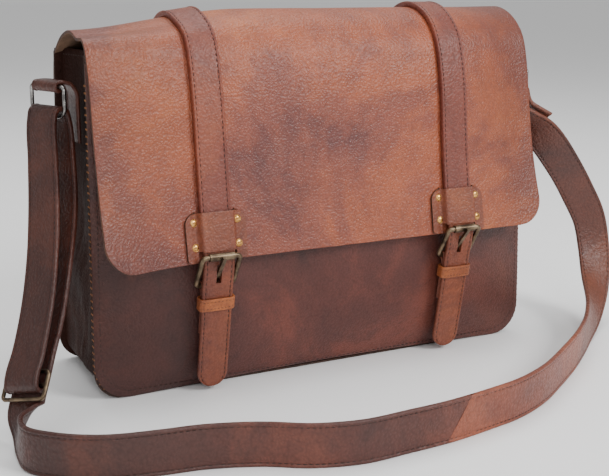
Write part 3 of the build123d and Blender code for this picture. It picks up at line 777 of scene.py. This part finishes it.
def strap_rows(at, start, end, half, stitch_in, height, faces=(1,), narrow=None):
    """Points of the stitch rows near both edges of a strap."""
    rows = []
    for face in faces:
        for sign in (-1, 1):
            row = []
            for k in range(int((end - start) / (2 * mm)) + 1):
                run = start + 2 * mm * k
                centre, _, sideways, outward = at(run)
                reach = (narrow(run) if narrow else half) - stitch_in
                row.append((centre + sideways * sign * reach + outward * face * height, outward * face))
            rows.append(row)
    return rows


def middle_x(node):
    low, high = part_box(node)
    return (low[0] + high[0]) / 2


strap_half = (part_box("strap_top_left")[1][0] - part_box("strap_top_left")[0][0]) / 2
strap_thick = 4.6 * mm
stitch_in = 2.6 * mm
sewn_low = flap_low + 9 * mm
for side in ("left", "right"):
    strap_x = middle_x("strap_top_" + side)
    strap_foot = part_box("strap_back_" + side)[0][2]
    stations = []
    for k in range(5):
        z = strap_foot + (bag_top - 34 * mm - strap_foot) * k / 4
        stations.append((back_face(strap_x, z) + Vector((0, strap_thick / 2, 0)), (1, 0, 0)))
    stop = flap_run_to(sewn_low)
    for k in range(45):
        run = 6 * mm + (stop - 6 * mm) * k / 44
        point, wide, outward, _ = flap_frame(strap_x, run)
        stations.append((point + outward * strap_thick / 2, wide))
    at, total = strap_path(stations, 4)
    join = total - (stop - flap_split)
    profile = edge_profile(strap_half, strap_thick, stitch_in, both=False)
    face = strap_thick / 2 - 0.2 * mm
    rear = make_piece("flap_strap_rear_" + side, strap_shell(at, 0, join, profile, 90, wave=0.25 * mm),
                      (russet,), None)
    front = make_piece("flap_strap_" + side, strap_shell(at, join, total, profile, 150, wave=0.25 * mm),
                       (russet,), None)
    rear_sewing = stitches("flap_strap_rear_thread_" + side,
                           strap_rows(at, 3 * mm, join, strap_half, stitch_in, face),
                           dark_thread)
    front_sewing = stitches("flap_strap_thread_" + side,
                            strap_rows(at, join, total, strap_half, stitch_in, face),
                            dark_thread)
    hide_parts("strap_back_" + side)
    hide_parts("strap_top_" + side, "strap_front_" + side)
    for piece in (rear, rear_sewing):
        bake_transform(piece)
    for piece in (front, front_sewing):
        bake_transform(piece)

# ------------------------------------------------------------------ buckled straps
# Below the flap each strap goes on as a thinner billet with a stitched round tip, through the
# buckle and a sliding keeper loop. A patch riveted over the strap's end holds the buckle.
toffee = leather("toffee_leather", ((0.28, (0.120, 0.030, 0.018)), (0.5, (0.190, 0.048, 0.022)),
                                    (0.72, (0.290, 0.078, 0.028))),
                 patch_size=22, grain=560, grain_depth=0.4, crease=(50, 50, 50), crease_depth=0.3, gloss=0.34)
keeper_tan = leather("keeper_tan", ((0.3, (0.240, 0.062, 0.020)), (0.7, (0.400, 0.115, 0.030))),
                     patch_size=40, grain=700, grain_depth=0.3, gloss=0.38)


def metal(name, deep, bright, rough, worn_scale=120.0):
    """Worn metal, from a deep tone in its hollows to a bright one where it is rubbed."""
    material = bpy.data.materials.new(name)
    material.use_nodes = True
    nodes, links = material.node_tree.nodes, material.node_tree.links
    shader = nodes["Principled BSDF"]
    where = nodes.new("ShaderNodeTexCoord")
    tarnish = nodes.new("ShaderNodeTexNoise")
    tarnish.inputs["Scale"].default_value = worn_scale
    tarnish.inputs["Detail"].default_value = 6
    links.new(where.outputs["Object"], tarnish.inputs["Vector"])
    mix = nodes.new("ShaderNodeValToRGB")
    for element, (place, tone) in zip(mix.color_ramp.elements, ((0.38, deep), (0.66, bright))):
        element.position = place
        element.color = (*tone, 1)
    links.new(tarnish.outputs["Fac"], mix.inputs["Fac"])
    links.new(mix.outputs["Color"], shader.inputs["Base Color"])
    spread = nodes.new("ShaderNodeMath")
    spread.operation = "MULTIPLY_ADD"
    spread.inputs[1].default_value = 0.25
    spread.inputs[2].default_value = rough - 0.1
    links.new(tarnish.outputs["Fac"], spread.inputs[0])
    links.new(spread.outputs[0], shader.inputs["Roughness"])
    dings = nodes.new("ShaderNodeBump")
    dings.inputs["Distance"].default_value = 0.0002
    dings.inputs["Strength"].default_value = 0.4
    links.new(tarnish.outputs["Fac"], dings.inputs["Height"])
    links.new(dings.outputs["Normal"], shader.inputs["Normal"])
    shader.inputs["Metallic"].default_value = 1.0
    return material


def dress(node, look):
    """Gives a CAD piece its finish."""
    for holder in bpy.data.objects[node].material_slots:
        holder.material = look


bronze = metal("antique_bronze", (0.075, 0.052, 0.036), (0.26, 0.19, 0.12), 0.38)
brass = metal("rivet_brass_worn", (0.50, 0.24, 0.07), (0.90, 0.52, 0.18), 0.26, 300)
nickel = metal("dark_nickel_worn", (0.16, 0.15, 0.145), (0.50, 0.49, 0.47), 0.24, 160)
steel = metal("plated_steel", (0.30, 0.28, 0.25), (0.60, 0.58, 0.54), 0.3, 200)
slope = Vector((0, 5.0, -29.5)).normalized()
for side in ("left", "right"):
    strap_x = middle_x("strap_top_" + side)
    bar_low, bar_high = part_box("roller_" + side)
    roller = Vector((strap_x, (bar_low[1] + bar_high[1]) / 2, (bar_low[2] + bar_high[2]) / 2))
    heel = roller + Vector((0, 15.1 * mm, -25 * mm))
    slope_start = heel + Vector((0, -5.9 * mm, 0))

    def on_slope(z):
        return slope_start + slope * ((slope_start.z - z) / -slope.z)

    billet_points = [Vector((strap_x, roller.y + dy * mm, roller.z + dz * mm)) for dy, dz in
                     ((5.2, 4.5), (4.9, 0), (5.6, -7), (6.7, -15))]
    billet_points += [slope_start, on_slope(flap_low - 34 * mm), on_slope(flap_low - 50 * mm)]
    tip_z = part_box("strap_front_" + side)[0][2]
    billet_points += [Vector((strap_x, base_front + dy * mm, z)) for dy, z in
                      ((-19.0, 36 * mm), (-14.9, 14 * mm), (-13.6, tip_z))]
    at, total = strap_path([(p, (1, 0, 0)) for p in billet_points], 6)
    tip = 12 * mm

    def billet_half(run, total=total):
        left = total - run
        if left >= tip:
            return strap_half
        return max(strap_half - tip + sqrt(max(tip ** 2 - (tip - left) ** 2, 0)), 0.6 * mm)

    billet_shape = strap_shell(at, 0, total, edge_profile(strap_half, 3.1 * mm, stitch_in), 130, billet_half)
    slot_foot, slot_top = heel.z + 2.5 * mm, heel.z + 18 * mm
    cut_slot(billet_shape, lambda c: abs(c.x - strap_x) < 2 * mm and slot_foot < c.z < slot_top)
    billet = make_piece("billet_" + side, billet_shape, (toffee,), None)
    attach(billet, "flap_drop")
    billet_sewing = stitches("billet_thread_" + side,
                             strap_rows(at, 4 * mm, total - 3.2 * mm, strap_half, stitch_in, 1.4 * mm,
                                        narrow=billet_half), dark_thread)
    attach(billet_sewing, "flap_drop")

    # folded leather behind the billet, round the buckle's heel bar
    layer = 1.6 * mm
    behind = [on_slope(z * mm) + Vector((0, 3.55 * mm, 0)) for z in (50, 60, 70, 78, 84)]
    stations = [(p + Vector((0, -layer / 2, 0)), (1, 0, 0)) for p in behind]
    for k in range(9):
        turn = radians(200 - 220 * k / 8)
        stations.append((heel + Vector((0, cos(turn), sin(turn))) * (2.15 * mm + layer / 2), (1, 0, 0)))
    stations += [(p + Vector((0, layer / 2, 0)), (1, 0, 0)) for p in reversed(behind)]
    fold_at, fold_length = strap_path(stations, 5)
    fold_half = strap_half - 0.5 * mm
    fold_profile = edge_profile(fold_half, layer, 3 * mm, 0.1 * mm, 0.1 * mm, middle=2.4 * mm)
    chape_shape = strap_shell(fold_at, 0, fold_length, fold_profile, 110)
    cut_slot(chape_shape, lambda c: abs(c.x - strap_x) < 2.3 * mm and c.z > heel.z - 6 * mm)
    chape = make_piece("chape_leather_" + side, chape_shape, (toffee,), None)
    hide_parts("chape_" + side)
    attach(chape, "flap_drop")

    # the keeper loop
    keeper_middle = on_slope(flap_low - 34 * mm)
    keeper_out = Vector((0, slope.z, -slope.y))
    ring_half = strap_half + 1.35 * mm
    front_face, rear_face = 2.95 * mm, -6.5 * mm
    keeper_half = 5 * mm
    squareness = 0.4

    def keeper_place(across, along):
        turn = 2 * pi * along
        wide = abs(cos(turn)) ** squareness * (1 if cos(turn) > 0 else -1)
        deep = abs(sin(turn)) ** squareness * (1 if sin(turn) > 0 else -1)
        depth = (front_face + rear_face) / 2 + (front_face - rear_face) / 2 * deep
        sideways = Vector((ring_half * wide, 0, 0))
        return keeper_middle + sideways + keeper_out * depth + slope * across * keeper_half

    loop = shaped_grid(10, 96, keeper_place)
    bmesh.ops.remove_doubles(loop, verts=loop.verts, dist=0.01 * mm)
    keeper = make_piece("keeper_leather_" + side, loop, (keeper_tan, flap_edge), None)
    thicken(keeper, 1.7 * mm, 0, 0)
    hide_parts("keeper_" + side)
    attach(keeper, "keeper_" + side)
    keeper_lines = []
    for across in (-0.55, 0.55):
        keeper_lines.append([(keeper_place(across, k / 400) + keeper_out * 0.85 * mm, keeper_out)
                             for k in range(22, 180)])
    keeper_sewing = stitches("keeper_thread_" + side, keeper_lines, dark_thread,
                             pitch=3.0 * mm, radius=0.3 * mm)
    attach(keeper_sewing, "keeper_" + side)

    # the riveted patch
    patch_low, patch_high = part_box("patch_" + side)
    patch_half = (patch_high[0] - patch_low[0]) / 2
    patch_foot, patch_top = flap_low + 0.5 * mm, patch_high[2]

    def patch_place(across, along, strap_x=strap_x):
        z = patch_foot + (patch_top - patch_foot) * along
        half = patch_half
        for to_edge, round_off in ((patch_top - z, 9 * mm), (z - patch_foot, 3 * mm)):
            if to_edge < round_off:
                half -= round_off - sqrt(max(round_off ** 2 - (round_off - to_edge) ** 2, 0))
        fixed = 16 * mm
        x = across * patch_half
        if abs(x) > fixed:
            x = (fixed + (abs(x) - fixed) / (patch_half - fixed) * (half - fixed)) * (1 if x > 0 else -1)
        point, _, outward, _ = flap_frame(strap_x + x, flap_run_to(z))
        rise = 2.4 * mm + 4.9 * mm * ease((16.2 * mm - abs(x)) / (3.4 * mm))
        dip = 0.5 * mm * exp(-((abs(x) - 17.5 * mm) / (1.6 * mm)) ** 2)
        return point + outward * (rise - dip)

    sheet = shaped_grid(50, 36, patch_place)
    notch = [f for f in sheet.faces if abs(f.calc_center_median().x - strap_x) < 15.9 * mm
             and f.calc_center_median().z < patch_foot + 8.6 * mm]
    bmesh.ops.delete(sheet, geom=notch, context="FACES")
    patch = make_piece("patch_leather_" + side, sheet, (toffee, flap_edge), (0, -1, 0))
    thicken(patch, 2.3 * mm, -1)
    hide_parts("patch_" + side)
    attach(patch, "flap_drop")

    heads = bmesh.new()
    for dx in (-18, 18):
        for dz in (-9.15, 9.15):
            z = flap_low + (21 + dz) * mm
            point, _, outward, _ = flap_frame(strap_x + dx * mm, flap_run_to(z))
            turn = outward.to_track_quat("Z", "Y").to_matrix().to_4x4()
            seat = Matrix.Translation(point + outward * 2.3 * mm) @ turn
            bmesh.ops.create_cone(heads, cap_ends=True, segments=28, radius1=3.3 * mm, radius2=2.9 * mm,
                                  depth=0.7 * mm, matrix=seat)
            bmesh.ops.create_uvsphere(heads, u_segments=24, v_segments=12, radius=2.5 * mm,
                                      matrix=seat @ Matrix.Diagonal((1, 1, 0.36, 1)))
    rivet_heads = make_piece("rivet_heads_" + side, heads, (brass,), None)
    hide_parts("rivets_" + side)
    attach(rivet_heads, "flap_drop")

    for node, look in (("buckle_frame_", bronze), ("roller_", bronze), ("prong_", bronze),
                       ("snap_socket_", steel), ("snap_stud_", steel), ("d_ring_", nickel)):
        dress(node + side, look)

# ------------------------------------------------------------------ ring tabs
# At each end a short tab of dark leather is sewn to the gusset, twists outwards and is
# rolled round the straight bar of a D-ring.
# painted shade: this leather darkens the farther it is from the bag's middle
cocoa = leather("cocoa_leather", ((0.25, (0.036, 0.011, 0.008)), (0.45, (0.075, 0.019, 0.012)),
                                  (0.62, (0.130, 0.033, 0.018)), (0.8, (0.210, 0.055, 0.026))),
                patch_size=10, grain=520, grain_depth=0.4, crease=(70, 70, 24), crease_depth=0.4, gloss=0.36,
                painted_end_shade=(0.10, 0.24, 0.35))
wall_x = bag_half - 5 * mm
up = Vector((0, 0, 1))
flat = Vector((0, -1, 0))
tab_half = 14 * mm
rings = {}
for side, sign, reach, turn in (("left", -1, 16 * mm, 24), ("right", 1, 12 * mm, 0)):
    pivot = Vector((sign * (bag_half + reach), -17 * mm, bag_top - 25 * mm))
    along_roll = Vector((-sign * sin(radians(turn)), -cos(radians(turn)), 0))
    outward_roll = Vector((sign * cos(radians(turn)), -sin(radians(turn)), 0))
    rings[side] = (pivot, along_roll, outward_roll)

    def off_wall(out, down):
        return Vector((sign * (wall_x + out * mm), pivot.y, pivot.z - down * mm))

    stations = [(off_wall(2.2, 42), flat), (off_wall(2.2, 28), flat), (off_wall(2.2, 14), flat),
                (off_wall(3.0, 4), flat), (off_wall(6.2, -1.2), flat),
                (off_wall(9.5, -2.2), flat.lerp(along_roll, 0.5))]
    for k in range(10):
        bend = radians(100 - 260 * k / 9)
        stations.append((pivot + (outward_roll * cos(bend) + up * sin(bend)) * 3.1 * mm, along_roll))
    at, total = strap_path(stations, 5)
    tab_shape = strap_shell(at, 0, total, edge_profile(tab_half, 2.2 * mm, stitch_in), 110, wave=0.2 * mm)
    tab = make_piece("tab_" + side, tab_shape, (cocoa,), None)
    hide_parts("tab_base_" + side, "tab_roll_" + side)
    tab_rows = strap_rows(at, 3 * mm, 42 * mm, tab_half, stitch_in, 1.0 * mm)
    tab_sewing = stitches("tab_thread_" + side, tab_rows, dark_thread)
    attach(tab_sewing, "bag")
    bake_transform(tab)

# ------------------------------------------------------------------ shoulder strap
# A doubled strap with stitched edges: the long length is looped through the left ring and its
# slider, curls over on the floor and runs along the front to a skew lap seam; the plain length
# rises on the right to the other ring and is sewn back on itself.
# painted shade: this leather darkens the farther it is from the bag's middle
saddle_red = leather("saddle_red_leather", ((0.25, (0.090, 0.024, 0.016)), (0.45, (0.180, 0.045, 0.024)),
                                            (0.60, (0.270, 0.070, 0.032)), (0.8, (0.350, 0.100, 0.042))),
                     patch_size=9, grain=520, grain_depth=0.4, crease=(60, 60, 60), crease_depth=0.35,
                     gloss=0.34, painted_end_shade=(0.12, 0.28, 0.5))
carry_half = 16 * mm
carry_thick = 3.1 * mm
left_pivot, left_along, left_out = rings["left"]
right_pivot, _, right_out = rings["right"]


def over_wire(pivot, out, first):
    """Points round a ring's lower wire, from the side that first says (1 outside, -1 inside)."""
    wire = pivot - up * 22 * mm
    bend = 6.25 * mm
    return [wire + out * (first * bend * cos(pi * k / 6)) + up * (bend * sin(pi * k / 6)) for k in range(7)]


drop = [Vector(p) * mm for p in ((-264.5, -98.5, 42), (-256, -88, 60), (-246, -76, 86), (-236.5, -60, 118),
                                 (-230, -45, 150), (-225, -29, 186))]
slider_run = (drop[1] - drop[0]).normalized()
slider_across = (left_along - slider_run * left_along.dot(slider_run)).normalized()
slider_out = slider_across.cross(slider_run)
slider_offset = 9.7 * mm
slider_middle = drop[0] - slider_out * 4.65 * mm
stations = []
for k in range(7):
    turn = radians(-150 + 150 * k / 6)
    reach = (3.6 + 1.05 * k / 6) * mm
    around = slider_out * cos(turn) + slider_run * sin(turn)
    stations.append((slider_middle + around * reach, slider_across))
stations += [(p, left_along) for p in drop[1:]]
stations += [(p, left_along) for p in over_wire(left_pivot, left_out, 1)]
gaps = (16 * mm, 16.5 * mm, 13.5 * mm, slider_offset + 2 * mm, slider_offset, slider_offset)
for k, (p, gap) in enumerate(zip(reversed(drop), gaps)):
    stations.append((p - (left_out if k < 3 else slider_out) * gap, left_along))
stations += [(Vector(p) * mm, w) for p, w in
             (((-262.6, -101.6, 25.6), (0.52, -0.82, 0.2)), ((-267.5, -114, 19), (0.3, -0.5, 0.8)),
              ((-274, -131, 16.6), (0.05, -0.1, 1)), ((-274, -150, 16.2), (0, 0, 1)),
              ((-260, -168, 16.2), (0, 0, 1)))]
stations += [(Vector((x, y, 16)) * mm, (0, 0, 1)) for x, y in
             ((-235, -184), (-195, -194), (-169, -198), (-132, -211), (-101, -229), (-73, -237),
              (-31, -237), (2, -235), (24, -232))]
long_at, long_length = strap_path(stations, 6)
carry_stitch_in = 3 * mm
carry_profile = edge_profile(carry_half, carry_thick, carry_stitch_in)
carry_face = carry_thick / 2 - 0.25 * mm
long_shape = strap_shell(long_at, 0, long_length, carry_profile, 620, wave=0.25 * mm)
long_strap = make_piece("carry_strap_long_leather", long_shape, (cocoa,), None)
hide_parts("carry_strap_long")
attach(long_strap, "shoulder_strap")
both_faces = (1, -1)
long_rows = strap_rows(long_at, 12 * mm, long_length - 2 * mm, carry_half, carry_stitch_in, carry_face,
                       both_faces)
long_sewing = stitches("carry_strap_long_thread", long_rows, dark_thread)
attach(long_sewing, "shoulder_strap")

stations = [(Vector((x, y, 16)) * mm, (0, 0, 1)) for x, y in
            ((-4, -235.6), (12, -234), (24.3, -232), (41, -229), (70, -223), (110, -206), (140, -187),
             (192, -150))]
stations += [(Vector(p) * mm, w) for p, w in
             (((236, -112, 16.4), (-0.1, 0.05, 1)), ((268, -82, 24), (-0.45, 0.2, 0.85)),
              ((288, -60, 41), (-0.8, 0.3, 0.5)), ((297, -45, 68), (-0.93, 0.3, 0.1)),
              ((294, -39, 95), (-0.95, 0.3, -0.1)), ((281, -36, 120), (-0.85, 0.3, -0.4)),
              ((260, -34, 151), (-0.75, 0.3, -0.6)), ((238, -30, 178), (-0.5, 0.6, -0.5)),
              ((219, -23, 196), (-0.15, 0.9, -0.2)), ((208, -19, 207), (0, 1, 0)))]
stations += [(p, (0, 1, 0)) for p in over_wire(right_pivot, right_out, -1)]
stations += [(Vector(p) * mm, w) for p, w in
             (((221.5, -18.5, 208), (0, 1, 0)), ((229, -22, 199), (-0.1, 0.95, -0.15)),
              ((238, -27, 189), (-0.3, 0.8, -0.35)))]
short_at, short_length = strap_path(stations, 6)
short_shape = strap_shell(short_at, 14 * mm, short_length, carry_profile, 420, slant=11 * mm,
                          wave=0.25 * mm)
short_strap = make_piece("carry_strap_short_leather", short_shape, (saddle_red,), None)
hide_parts("carry_strap_short")
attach(short_strap, "shoulder_strap")
short_rows = strap_rows(short_at, 30 * mm, short_length - 3 * mm, carry_half, carry_stitch_in, carry_face,
                        both_faces)
short_sewing = stitches("carry_strap_short_thread", short_rows, dark_thread)
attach(short_sewing, "shoulder_strap")
dress("strap_slider", bronze)
